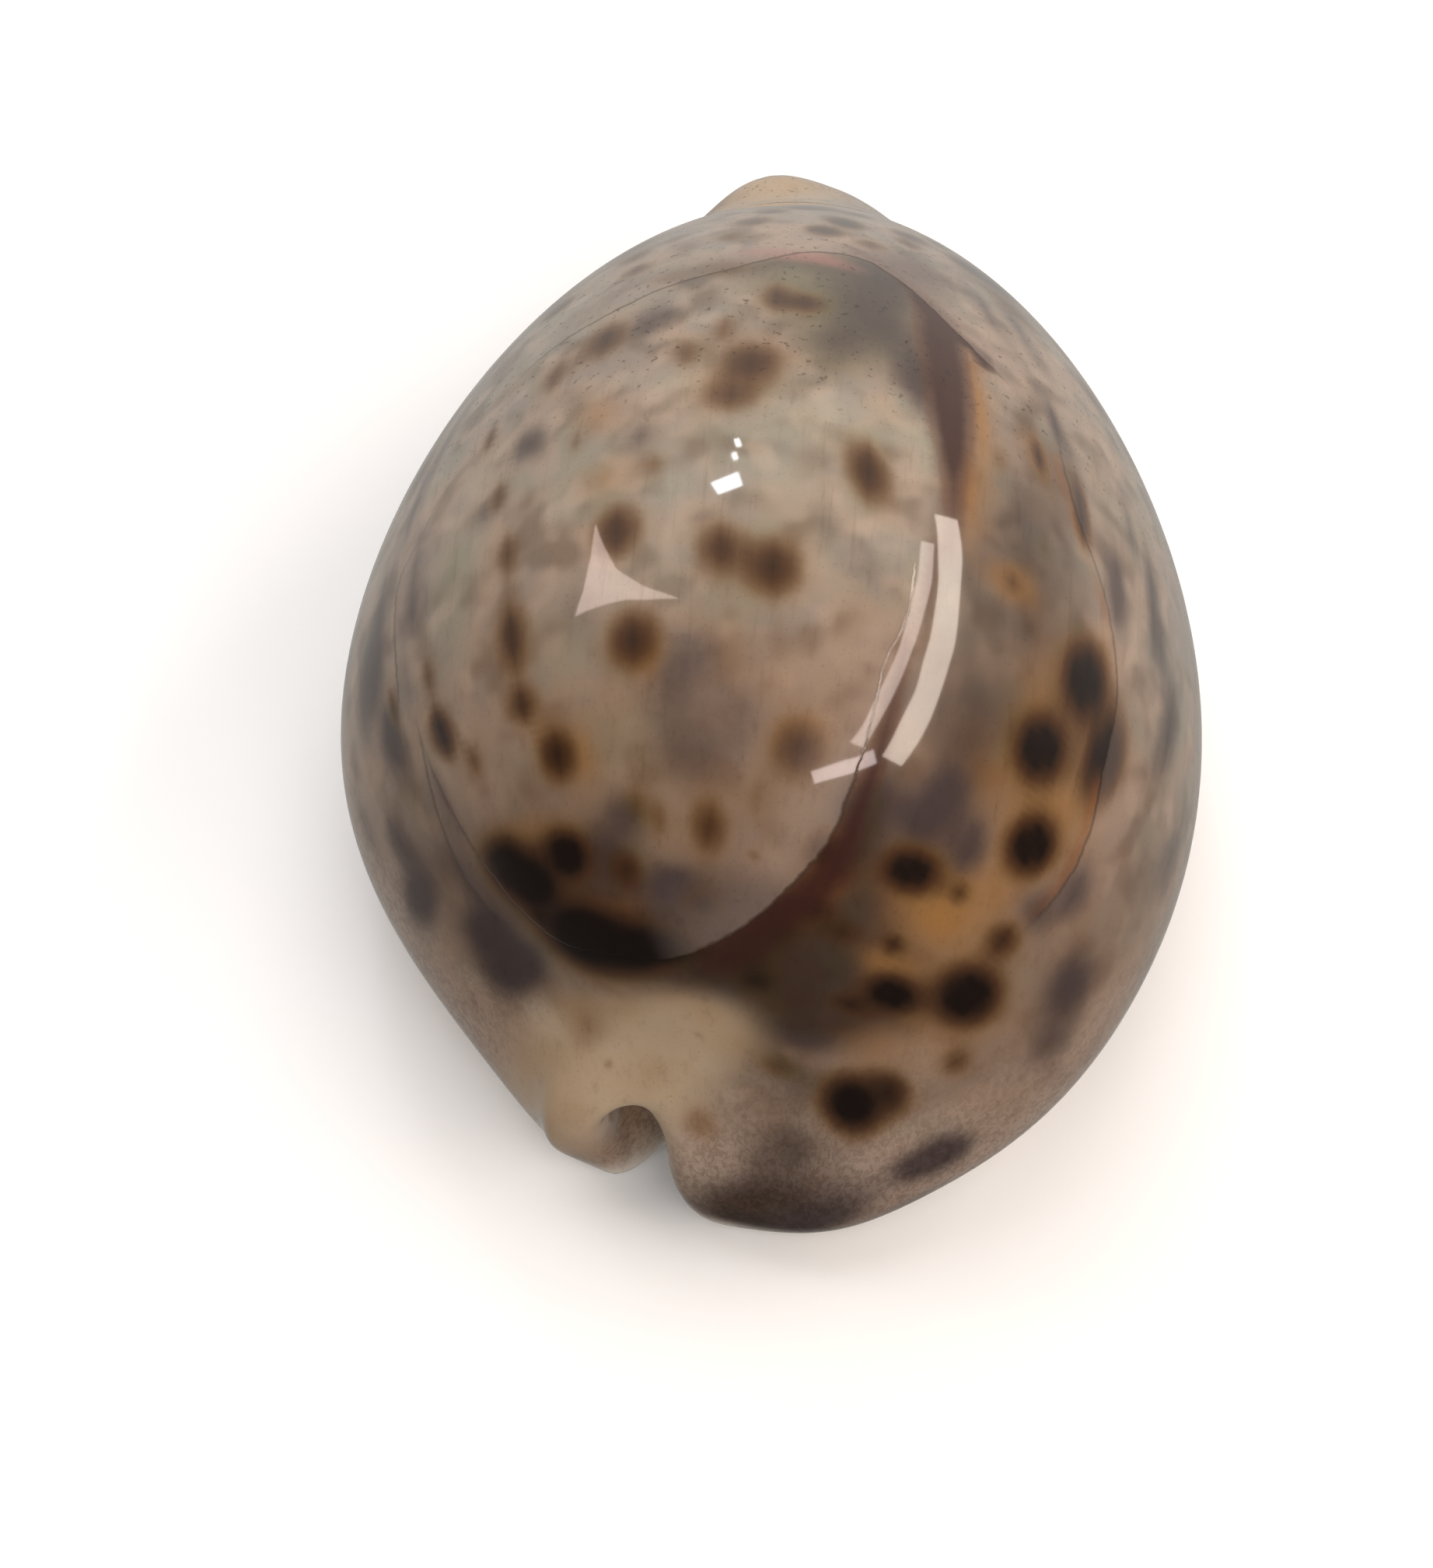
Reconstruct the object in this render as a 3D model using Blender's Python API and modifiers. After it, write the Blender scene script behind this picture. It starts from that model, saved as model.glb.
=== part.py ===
"""A tiger cowrie shell, resting on its base with the rear canal toward -Y and the outer lip at +X.

The shell is one hollow solid. A sheet is lofted through cross sections, its edge is rolled inward
into two toothed lips with a canal notch at each end, and the sheet is then given its thickness.
Run it with: blender --background --python part.py
"""

import math

import bmesh
import bpy
import numpy as np

MM = 0.001

# Driving dimensions, in millimetres.
REAR_END = -40.0
FRONT_END = 40.2
HALF_WIDTH = 29.2
HEIGHT = 44.7
FLANK_LEVEL = 13.6
REAR_CANAL_LEVEL = 7.9
FRONT_CANAL_LEVEL = 6.6
REAR_CANAL_SHIFT = -6.9
WALL = 2.0

# How the cross sections change along the shell: s is -1 at the rear end and 1 at the front end.
PLAN_TAPER = 1.25
PLAN_TAPER_FRONT = 0.03
REAR_BREADTH = 0.245
PROFILE_TAPER = 1.04
PROFILE_TAPER_FRONT = 0.65
REAR_HEIGHT = 0.33
REAR_SHIFT_POWER = 3.9
REAR_SKEW = 1.25
REAR_SKEW_POWER = 4.1
FRONT_ROOF = 3.0

# The base, the slit and the lips.
BASE_ROUND = 2.2
BASE_CUT = 0.48
SLIT_SHIFT = 3.8
SLIT_HALF = 1.8
SLIT_HALF_MIDDLE = 1.2
SLIT_HALF_FRONT = 2.0
LIP_ROUND = 3.1
LIP_DEPTH = 3.0
CANAL_DEPTH = 4.0
SPINE_REACH = 27.0
SPINE_LEVEL = 12.0
TOOTH_PITCH = 3.0
TOOTH_HEIGHT = 0.6
TOOTH_RUN = 33.0

# Local swellings of the outside: centre, reach and push, each along X, Y and Z.
SWELLINGS = {
    "outer rear lobe": ((8.8, -40.0, 4.0), (9.0, 6.0, 9.0), (0.3, -3.9, 0.0)),
    "outer rear flank": ((15.0, -32.0, 8.0), (8.0, 7.0, 12.0), (0.1, -1.0, 0.0)),
    "outer flank": ((21.0, -24.0, 12.0), (8.0, 8.0, 14.0), (-0.8, 0.4, 0.0)),
    "inner rear lobe": ((-10.0, -39.5, 1.5), (5.5, 5.5, 7.0), (0.1, 2.8, 0.2)),
    "rear notch": ((-6.7, -37.5, 11.0), (5.0, 5.0, 5.0), (-1.8, 0.2, 0.6)),
    "rear saddle": ((-9.0, -37.0, 19.0), (11.0, 8.0, 9.0), (0.3, 4.0, -1.5)),
    "front spout": ((0.0, 38.5, 7.0), (11.0, 5.0, 9.0), (0.0, 2.6, 0.0)),
    "front rim": ((-4.5, 38.0, 13.0), (7.0, 4.0, 4.0), (0.0, 1.4, 1.4)),
}

STATIONS = 150
RAYS = 110
LIP_RINGS = 9
NUDGE = 1e-3
TRIANGLES = 9400


def section(station):
    """The cross section at a station angle: -90 degrees at the rear end, 90 at the front."""
    s = np.sin(station)
    c = np.cos(station)
    rear = np.maximum(-s, 0.0)
    front = np.maximum(s, 0.0)
    width = HALF_WIDTH * c ** (PLAN_TAPER + PLAN_TAPER_FRONT * s) * (1 - REAR_BREADTH * s)
    taper = PROFILE_TAPER + PROFILE_TAPER_FRONT * front**2
    rise = (HEIGHT - FLANK_LEVEL) * c**taper * (1 - REAR_HEIGHT * s) + FRONT_ROOF * front**3
    level = FLANK_LEVEL + (REAR_CANAL_LEVEL - FLANK_LEVEL) * rear**3
    level = level + (FRONT_CANAL_LEVEL - FLANK_LEVEL) * front**3
    drop = (level + 3.0) * np.tanh(1.6 * width / (level + 3.0))
    centre = REAR_CANAL_SHIFT * rear**REAR_SHIFT_POWER
    edge = SLIT_HALF + SLIT_HALF_MIDDLE * c**2 + SLIT_HALF_FRONT * front**2 + LIP_ROUND
    slit = centre + SLIT_SHIFT * (1 - s * s) * np.maximum(1 - (edge / width) ** 2, 0)
    skew = REAR_SKEW * rear**REAR_SKEW_POWER * (1 - edge / np.maximum(width, edge)) ** 2
    return s, width, rise, drop, level, centre, slit, edge, skew


def end_station(rear_or_front):
    """The station at which the section is no wider than the canal between the lips."""
    low, high = 0.8, 0.5 * math.pi - 1e-4
    for _ in range(40):
        middle = 0.5 * (low + high)
        _, width, *_, edge, _ = section(np.array(rear_or_front * middle))
        low, high = (middle, high) if width > edge else (low, middle)
    return rear_or_front * low


def stretch(u, v):
    """The station and the ray of a place: u runs rear to front, v from the outer lip to the inner."""
    rear, front = end_station(-1), end_station(1)
    station = rear + (front - rear) * (0.3 * u + 0.35 * (1 - np.cos(math.pi * u)))
    _, width, _, _, _, centre, slit, edge, _ = section(station)
    start = -np.arccos(np.clip((slit + edge - centre) / width, -1, 1))
    end = math.pi + np.arccos(np.clip((centre - slit + edge) / width, -1, 1))
    return station, start + (end - start) * v


def outside(station, ray):
    """Points of the outside of the shell."""
    s, width, rise, drop, level, centre, _, _, skew = section(station)
    lift = 1.5 * np.sin(ray) - 0.5 * np.sin(ray) ** 3
    x = centre + width * (np.cos(ray) + skew * np.cos(ray) ** 2)
    y = 0.5 * (REAR_END + FRONT_END) + 0.5 * (FRONT_END - REAR_END) * s
    z = level + (0.5 * (rise + drop) + 0.5 * (rise - drop) * lift) * np.sin(ray)
    z = 0.5 * (z + np.sqrt(z * z + BASE_ROUND**2))
    points = np.stack(np.broadcast_arrays(x, y, z), -1)
    for middle, reach, push in SWELLINGS.values():
        nearness = np.exp(-np.sum(((points - middle) / np.array(reach)) ** 2, -1))
        points = points + nearness[..., None] * np.array(push)
    points[..., 2] = np.maximum(points[..., 2] - BASE_CUT, 0.0)
    return points


def unit(vectors):
    return vectors / np.linalg.norm(vectors, axis=-1, keepdims=True)


def rolled_lips(station, ray):
    """Rings that turn in from the sheet's edge, whose points lie at these stations and rays."""
    edge = outside(station, ray)
    along = unit(np.roll(edge, -1, 0) - np.roll(edge, 1, 0))
    frontward = outside(station + NUDGE, ray) - outside(station - NUDGE, ray)
    round_ray = outside(station, ray + NUDGE) - outside(station, ray - NUDGE)
    off = unit(np.cross(along, np.cross(frontward, round_ray)))
    spine = np.clip(edge[:, 1], -SPINE_REACH, SPINE_REACH)
    inward = unit(np.stack([0 * spine, spine - edge[:, 1], SPINE_LEVEL - edge[:, 2]], -1))
    wave = 0.5 + 0.5 * np.cos(2 * math.pi * edge[:, 1] / TOOTH_PITCH)
    wave = wave * np.clip((TOOTH_RUN - np.abs(edge[:, 1])) / 4.0, 0, 1)
    depth = LIP_DEPTH + CANAL_DEPTH * np.exp(-(((edge[:, 1] - REAR_END) / 5.0) ** 2))
    rings = []
    for way in np.linspace(0.0, 1.0, LIP_RINGS + 1)[1:]:
        turn = min(way / 0.6, 1.0)
        straight = (max(way - 0.6, 0.0) / 0.4 * depth)[:, None]
        roll = LIP_ROUND * (off * (2 * turn - turn**2) + inward * turn**2) + inward * straight
        crest = wave * TOOTH_HEIGHT * math.sin(math.pi * way) ** 0.7
        ring = edge + roll + crest[:, None] * unit(off * turn - inward * (1 - turn))
        ring[:, 2] = np.maximum(ring[:, 2], 0.0)
        rings.append(ring)
    return rings


def loft(form, rows):
    """Skins between rows of vertices, which all have the same number of them."""
    for row, next_row in zip(rows, rows[1:]):
        for k in range(len(row) - 1):
            form.faces.new((row[k], next_row[k], next_row[k + 1], row[k + 1]))


def shell_form():
    form = bmesh.new()
    u = np.linspace(0, 1, STATIONS)
    v = np.linspace(0, 1, RAYS)
    station, ray = stretch(u[:, None], v[None, :])
    grid = outside(station, ray)
    rows = [[form.verts.new(point * MM) for point in row] for row in grid]
    loft(form, rows)
    outline = [(i, 0) for i in range(STATIONS - 1)]
    outline += [(STATIONS - 1, j) for j in range(RAYS - 1)]
    outline += [(i, RAYS - 1) for i in range(STATIONS - 1, 0, -1)]
    outline += [(0, j) for j in range(RAYS - 1, 0, -1)]
    edge_station = np.array([station[i, 0] for i, _ in outline])
    edge_ray = np.array([ray[i, j] for i, j in outline])
    rings = [[rows[i][j] for i, j in outline]]
    for ring in rolled_lips(edge_station, edge_ray):
        rings.append([form.verts.new(point * MM) for point in ring])
    loft(form, [ring + ring[:1] for ring in rings])
    bmesh.ops.recalc_face_normals(form, faces=form.faces)
    return form


def shell_glaze():
    glaze = bpy.data.materials.new("shell glaze")
    glaze.use_nodes = True
    surface = glaze.node_tree.nodes["Principled BSDF"]
    surface.inputs["Base Color"].default_value = (0.36, 0.30, 0.26, 1)
    surface.inputs["Roughness"].default_value = 0.18
    surface.inputs["Metallic"].default_value = 0.0
    return glaze


def cowrie_shell():
    form = shell_form()
    mesh = bpy.data.meshes.new("cowrie_shell")
    form.to_mesh(mesh)
    form.free()
    shell = bpy.data.objects.new("cowrie_shell", mesh)
    shell.data.materials.append(shell_glaze())
    wall = shell.modifiers.new("wall", "SOLIDIFY")
    wall.thickness = WALL * MM
    wall.offset = -1
    wall.use_even_offset = False
    thin = shell.modifiers.new("fewer faces", "DECIMATE")
    quads = (STATIONS - 1) * (RAYS - 1) + 2 * (STATIONS + RAYS - 2) * LIP_RINGS
    rim = 2 * (STATIONS + RAYS - 2)
    thin.ratio = TRIANGLES / (4 * quads + 2 * rim)
    return shell


for leftover in list(bpy.data.objects):
    bpy.data.objects.remove(leftover)
collection = bpy.data.collections.new("cowrie shell")
bpy.context.scene.collection.children.link(collection)
collection.objects.link(cowrie_shell())
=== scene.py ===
"""A tiger cowrie shell lying on its base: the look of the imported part, and a studio to see it in."""

import math
from types import SimpleNamespace

import bmesh
import bpy
import numpy as np
from mathutils import Matrix, Vector


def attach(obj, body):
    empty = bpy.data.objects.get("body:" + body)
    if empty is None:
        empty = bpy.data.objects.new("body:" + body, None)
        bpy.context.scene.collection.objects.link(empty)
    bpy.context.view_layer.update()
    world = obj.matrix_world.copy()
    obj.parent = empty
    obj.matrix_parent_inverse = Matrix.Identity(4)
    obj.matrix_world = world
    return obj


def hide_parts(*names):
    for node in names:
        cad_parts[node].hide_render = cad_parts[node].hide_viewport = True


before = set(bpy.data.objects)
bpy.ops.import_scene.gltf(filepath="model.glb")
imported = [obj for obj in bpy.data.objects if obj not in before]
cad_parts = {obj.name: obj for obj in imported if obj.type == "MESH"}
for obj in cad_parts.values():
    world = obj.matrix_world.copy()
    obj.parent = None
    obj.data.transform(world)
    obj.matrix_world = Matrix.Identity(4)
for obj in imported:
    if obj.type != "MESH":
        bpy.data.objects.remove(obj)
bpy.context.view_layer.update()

# --- The shell's form ------------------------------------------------------------------------
# A hollow porcelain-like shell. One sheet follows cross sections that swell from the rear canal
# to the front one, and its edge turns in along the slit as two toothed lips.
SHELL_SIZES = {  # millimetres, or plain factors
    "rear_end": -40.0,
    "front_end": 40.2,
    "half_width": 29.2,
    "height": 44.7,
    "flank_level": 13.6,
    "rear_canal_level": 7.9,
    "front_canal_level": 6.6,
    "rear_canal_shift": -6.9,
    "plan_taper": 1.25,
    "plan_taper_front": 0.03,
    "rear_breadth": 0.245,
    "profile_taper": 1.04,
    "profile_taper_front": 0.65,
    "rear_height": 0.33,
    "rear_shift_power": 3.9,
    "rear_skew": 1.25,
    "rear_skew_power": 4.1,
    "front_roof": 3.0,
    "base_round": 2.2,
    "base_cut": 0.48,
    "slit_shift": 3.8,
    "slit_half": 1.8,
    "slit_half_middle": 1.2,
    "slit_half_front": 2.0,
    "lip_round": 3.1,
    "lip_depth": 3.0,
    "canal_depth": 4.0,
    "spine_reach": 27.0,
    "spine_level": 12.0,
    "tooth_pitch": 3.0,
    "tooth_height": 0.6,
    "tooth_run": 33.0,
}
SWELLINGS = {  # centre, reach and push, each along X, Y and Z in millimetres
    "outer rear lobe": ((8.8, -40.0, 4.0), (9.0, 6.0, 9.0), (0.3, -3.9, 0.0)),
    "outer rear flank": ((15.0, -32.0, 8.0), (8.0, 7.0, 12.0), (0.1, -1.0, 0.0)),
    "outer flank": ((21.0, -24.0, 12.0), (8.0, 8.0, 14.0), (-0.8, 0.4, 0.0)),
    "inner rear lobe": ((-10.0, -39.5, 1.5), (5.5, 5.5, 7.0), (0.1, 2.8, 0.2)),
    "rear notch": ((-6.7, -37.5, 11.0), (5.0, 5.0, 5.0), (-1.8, 0.2, 0.6)),
    "rear saddle": ((-9.0, -37.0, 19.0), (11.0, 8.0, 9.0), (0.3, 4.0, -1.5)),
    "front spout": ((0.0, 38.5, 7.0), (11.0, 5.0, 9.0), (0.0, 2.6, 0.0)),
    "front rim": ((-4.5, 38.0, 13.0), (7.0, 4.0, 4.0), (0.0, 1.4, 1.4)),
}
STATIONS = 221
RAYS = 151
EVEN_SHARE = 0.3  # of the stations' spacing; the rest crowd towards both ends
BELOW_BASE = 3.0  # millimetres that the sections swing below the base, before it is cut flat
FLANK_ROUND = 1.6
LIP_RINGS = 12
TURNED = 0.6  # share of the lips' breadth that rolls in
CANAL_REACH = 5.0  # millimetres
TOOTH_FADE = 4.0  # millimetres
TOOTH_ROUND = 0.7
WALL = 0.002
NUDGE = 0.003  # radians between the places that give a slope
MM = 0.001


class Field:
    """A number or a place at every point of a mesh. Sums and products of fields become nodes."""

    def __init__(self, tree, socket):
        self.tree, self.socket = tree, socket
        self.is_place = socket.type == "VECTOR"

    def work(self, operation, *operands, output=0):
        places = any(isinstance(one, Field) and one.is_place for one in operands)
        made = self.tree.nodes.new("ShaderNodeVectorMath" if places else "ShaderNodeMath")
        made.operation = operation
        sockets = (made.inputs[0], made.inputs[3]) if operation == "SCALE" else made.inputs
        for socket, operand in zip(sockets, operands):
            if isinstance(operand, Field):
                self.tree.links.new(operand.socket, socket)
            else:
                socket.default_value = operand
        return Field(self.tree, made.outputs[output])

    def __add__(self, other):
        return self.work("ADD", self, other)

    def __radd__(self, other):
        return self.work("ADD", other, self)

    def __sub__(self, other):
        return self.work("SUBTRACT", self, other)

    def __rsub__(self, other):
        return self.work("SUBTRACT", other, self)

    def __mul__(self, other):
        if isinstance(other, Field) and other.is_place and not self.is_place:
            return self.work("SCALE", other, self)
        return self.work("SCALE" if self.is_place else "MULTIPLY", self, other)

    __rmul__ = __mul__

    def __truediv__(self, other):
        return self.work("DIVIDE", self, other)

    def __pow__(self, other):
        return self.work("POWER", self, other)

    def __neg__(self):
        return self * -1.0

    def unit(self):
        return self.work("NORMALIZE", self)

    def cross(self, other):
        return self.work("CROSS_PRODUCT", self, other)

    def parts(self):
        made = self.tree.nodes.new("ShaderNodeSeparateXYZ")
        self.tree.links.new(self.socket, made.inputs[0])
        return [Field(self.tree, output) for output in made.outputs]


def place_of(x, y, z):
    """A place from its three numbers, some of which may be plain."""
    tree = next(one.tree for one in (x, y, z) if isinstance(one, Field))
    made = tree.nodes.new("ShaderNodeCombineXYZ")
    for socket, number in zip(made.inputs, (x, y, z)):
        if isinstance(number, Field):
            tree.links.new(number.socket, socket)
        else:
            socket.default_value = number
    return Field(tree, made.outputs[0])


def applied(operation, plain, *numbers):
    """Works on fields with a node, and on plain numbers with the plain function."""
    field = next((one for one in numbers if isinstance(one, Field)), None)
    return field.work(operation, *numbers) if field else plain(*numbers)


def sine(angle):
    return applied("SINE", math.sin, angle)


def cosine(angle):
    return applied("COSINE", math.cos, angle)


def larger(one, other):
    return applied("MAXIMUM", max, one, other)


def smaller(one, other):
    return applied("MINIMUM", min, one, other)


def between(number, low, high):
    return smaller(larger(number, low), high)


def section(station, size):
    """The cross section at a station angle: -90 degrees at the rear end, 90 at the front."""
    s, c = sine(station), cosine(station)
    rear, front = larger(-s, 0.0), larger(s, 0.0)
    plan_taper = size.plan_taper + size.plan_taper_front * s
    width = size.half_width * c**plan_taper * (1 - size.rear_breadth * s)
    profile_taper = size.profile_taper + size.profile_taper_front * front**2
    rise = (size.height - size.flank_level) * c**profile_taper * (1 - size.rear_height * s)
    level = size.flank_level + (size.rear_canal_level - size.flank_level) * rear**3
    level = level + (size.front_canal_level - size.flank_level) * front**3
    edge = size.slit_half + size.slit_half_middle * c**2 + size.slit_half_front * front**2
    edge = edge + size.lip_round
    centre = size.rear_canal_shift * rear**size.rear_shift_power
    narrowing = larger(1 - (edge / width) ** 2, 0.0)
    beyond = 1 - edge / larger(width, edge)
    depth = level + BELOW_BASE
    return SimpleNamespace(
        s=s,
        width=width,
        rise=rise + size.front_roof * front**3,
        level=level,
        drop=depth * applied("TANH", math.tanh, FLANK_ROUND * width / depth),
        centre=centre,
        shift=size.slit_shift * (1 - s * s) * narrowing,
        edge=edge,
        skew=size.rear_skew * rear**size.rear_skew_power * beyond**2,
    )


def end_station(rear_or_front):
    """The station at which the section is no wider than the canal between the lips."""
    low, high = 0.8, 0.5 * math.pi - 1e-4
    for _ in range(40):
        middle = 0.5 * (low + high)
        cut = section(rear_or_front * middle, SimpleNamespace(**SHELL_SIZES))
        low, high = (middle, high) if cut.width > cut.edge else (low, middle)
    return rear_or_front * low


def stretch(u, v, size):
    """The station and the ray of a place: u runs rear to front, v from the outer lip to the inner."""
    rear, front = end_station(-1), end_station(1)
    crowded = 0.5 * (1 - cosine(math.pi * u))
    station = rear + (front - rear) * (EVEN_SHARE * u + (1 - EVEN_SHARE) * crowded)
    cut = section(station, size)
    outer = between((cut.shift + cut.edge) / cut.width, -1.0, 1.0)
    inner = between((cut.edge - cut.shift) / cut.width, -1.0, 1.0)
    start = -outer.work("ARCCOSINE", outer)
    end = math.pi + inner.work("ARCCOSINE", inner)
    return station, start + (end - start) * v


def outside(station, ray, size):
    """The place on the outside of the shell at a station and a ray, in millimetres."""
    cut = section(station, size)
    up, across = sine(ray), cosine(ray)
    lift = 1.5 * up - 0.5 * up**3
    x = cut.centre + cut.width * (across + cut.skew * across**2)
    half_length = 0.5 * (size.front_end - size.rear_end)
    y = 0.5 * (size.rear_end + size.front_end) + half_length * cut.s
    z = cut.level + (0.5 * (cut.rise + cut.drop) + 0.5 * (cut.rise - cut.drop) * lift) * up
    z = 0.5 * (z + (z * z + size.base_round * size.base_round) ** 0.5)
    place = place_of(x, y, z)
    for middle, reach, push in SWELLINGS.values():
        apart = (place - middle) / reach
        near = apart.work("DOT_PRODUCT", apart, apart, output=1)
        near = near.work("EXPONENT", -near)
        place = place + place_of(*(near * amount for amount in push))
    x, y, z = place.parts()
    return place_of(x, y, larger(z - size.base_cut, 0.0))


def new_tree(name, inputs, output):
    """An empty tree of Geometry Nodes with number inputs, a named output and the shell's sizes."""
    tree = bpy.data.node_groups.new(name, "GeometryNodeTree")
    tree.interface.new_socket(output[0], in_out="OUTPUT", socket_type=output[1])
    for label in inputs:
        tree.interface.new_socket(label, in_out="INPUT", socket_type="NodeSocketFloat")
    for label, amount in SHELL_SIZES.items():
        made = tree.interface.new_socket(label, in_out="INPUT", socket_type="NodeSocketFloat")
        made.default_value = amount
    entry = tree.nodes.new("NodeGroupInput")
    given = {socket.name: Field(tree, socket) for socket in entry.outputs if socket.name}
    size = SimpleNamespace(**{label: given[label] for label in SHELL_SIZES})
    return tree, [given[label] for label in inputs], size


def closed_tree(tree, result):
    """The same tree, with its result led to its output."""
    tree.links.new(getattr(result, "socket", result), tree.nodes.new("NodeGroupOutput").inputs[0])
    return tree


outside_tree, (given_station, given_ray), size = new_tree(
    "outside of the shell", ("station", "ray"), ("place", "NodeSocketVector")
)
closed_tree(outside_tree, outside(given_station, given_ray, size))
sheet_tree, (given_u, given_v), size = new_tree(
    "angles on the sheet", ("u", "v"), ("angles", "NodeSocketVector")
)
closed_tree(sheet_tree, place_of(*stretch(given_u, given_v, size), 0.0))


def grouped(group, first, second, size):
    """The answer of one of the trees above for two fields and the shell's sizes."""
    tree = first.tree
    made = tree.nodes.new("GeometryNodeGroup")
    made.node_tree = group
    given = [first, second, *vars(size).values()]
    for socket, field in zip(made.inputs, given):
        tree.links.new(field.socket, socket)
    return Field(tree, made.outputs[0])


def grid_of(tree, columns, rows):
    """A flat grid, and how far along it each point is in its two directions, from 0 to 1."""
    grid = tree.nodes.new("GeometryNodeMeshGrid")
    for socket, amount in zip(grid.inputs, (1.0, 1.0, columns, rows)):
        socket.default_value = amount
    place = Field(tree, tree.nodes.new("GeometryNodeInputPosition").outputs[0])
    x, y, _ = place.parts()
    return grid.outputs["Mesh"], x + 0.5, y + 0.5


def moved(tree, mesh, place):
    setting = tree.nodes.new("GeometryNodeSetPosition")
    tree.links.new(mesh, setting.inputs["Geometry"])
    tree.links.new((place * MM).socket, setting.inputs["Position"])
    return setting.outputs[0]


def round_the_sheet(step):
    """u and v of a place on the sheet's edge, counted in steps from the outer lip's rear end."""
    along, over = STATIONS - 1, RAYS - 1
    starts = (0, along, along + over, 2 * along + over)
    turned = [
        between((step - start) / run, 0.0, 1.0)
        for start, run in zip(starts, (along, over, along, over))
    ]
    side = turned[0] + turned[1] + turned[2] + turned[3]
    u = between(1.5 - (side - 1.5).work("ABSOLUTE", side - 1.5), 0.0, 1.0)
    v = between(1.5 - (side - 2.5).work("ABSOLUTE", side - 2.5), 0.0, 1.0)
    return u, v


def rolled_lips(step, way, size):
    """The place on the lips, a step round the sheet's edge and a way in from it, from 0 to 1."""
    round_trip = 2.0 * (STATIONS + RAYS - 2)

    def angles(shift):
        wrapped = step.work("FLOORED_MODULO", step + shift, round_trip)
        station, ray, _ = grouped(sheet_tree, *round_the_sheet(wrapped), size).parts()
        return station, ray

    station, ray = angles(0.0)
    edge = grouped(outside_tree, station, ray, size)
    ahead, behind = (grouped(outside_tree, *angles(shift), size) for shift in (1.0, -1.0))
    along = (ahead - behind).unit()
    frontward, round_ray = (
        grouped(outside_tree, station + a, ray + b, size)
        - grouped(outside_tree, station - a, ray - b, size)
        for a, b in ((NUDGE, 0.0), (0.0, NUDGE))
    )
    off = along.cross(frontward.cross(round_ray)).unit()
    _, y, z = edge.parts()
    spine = between(y, -size.spine_reach, size.spine_reach)
    inward = place_of(0.0, spine - y, size.spine_level - z).unit()
    wave = 0.5 + 0.5 * cosine(2 * math.pi * y / size.tooth_pitch)
    wave = wave * between((size.tooth_run - y.work("ABSOLUTE", y)) / TOOTH_FADE, 0.0, 1.0)
    from_rear = (y - size.rear_end) / CANAL_REACH
    depth = size.lip_depth + size.canal_depth * from_rear.work("EXPONENT", -(from_rear * from_rear))
    turn = smaller(way / TURNED, 1.0)
    straight = larger(way - TURNED, 0.0) / (1 - TURNED) * depth
    roll = off * (size.lip_round * (2 * turn - turn**2))
    roll = roll + inward * (size.lip_round * turn**2 + straight)
    crest = wave * size.tooth_height * larger(sine(math.pi * way), 0.0) ** TOOTH_ROUND
    x, y, z = (edge + roll + (off * turn - inward * (1 - turn)).unit() * crest).parts()
    return place_of(x, y, larger(z, 0.0))


def shell_sheet_tree():
    tree, _, size = new_tree("cowrie shell sheet", (), ("shell", "NodeSocketGeometry"))
    back, u, v = grid_of(tree, STATIONS, RAYS)
    station, ray, _ = grouped(sheet_tree, u, v, size).parts()
    back = moved(tree, back, grouped(outside_tree, station, ray, size))
    steps = 2 * (STATIONS + RAYS - 2)
    lips, step, way = grid_of(tree, steps + 1, LIP_RINGS + 1)
    rounded = (step * steps).work("ROUND", step * steps)
    lips = moved(tree, lips, rolled_lips(rounded, way, size))
    joined = tree.nodes.new("GeometryNodeJoinGeometry")
    for mesh in (lips, back):
        tree.links.new(mesh, joined.inputs[0])
    merged = tree.nodes.new("GeometryNodeMergeByDistance")
    merged.inputs["Distance"].default_value = 0.01 * MM
    real = tree.nodes.new("GeometryNodeRealizeInstances")
    painted = tree.nodes.new("GeometryNodeSetMaterial")
    painted.inputs["Material"].default_value = bpy.data.materials.new("glazed back")
    for one, other in ((joined, merged), (merged, real), (real, painted)):
        tree.links.new(one.outputs[0], other.inputs[0])
    return closed_tree(tree, painted.outputs[0])


def plain_mesh(modifier_tree, inputs):
    """The mesh that a tree of Geometry Nodes makes, with its inputs set to these amounts."""
    maker = bpy.data.objects.new("maker", bpy.data.meshes.new("maker"))
    bpy.context.scene.collection.objects.link(maker)
    nodes = maker.modifiers.new("nodes", "NODES")
    nodes.node_group = modifier_tree
    for socket in modifier_tree.interface.items_tree:
        if socket.in_out == "INPUT" and socket.name in inputs:
            nodes[socket.identifier] = inputs[socket.name]
    graph = bpy.context.evaluated_depsgraph_get()
    mesh = bpy.data.meshes.new_from_object(maker.evaluated_get(graph), depsgraph=graph)
    bpy.data.objects.remove(maker)
    return mesh


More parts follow.
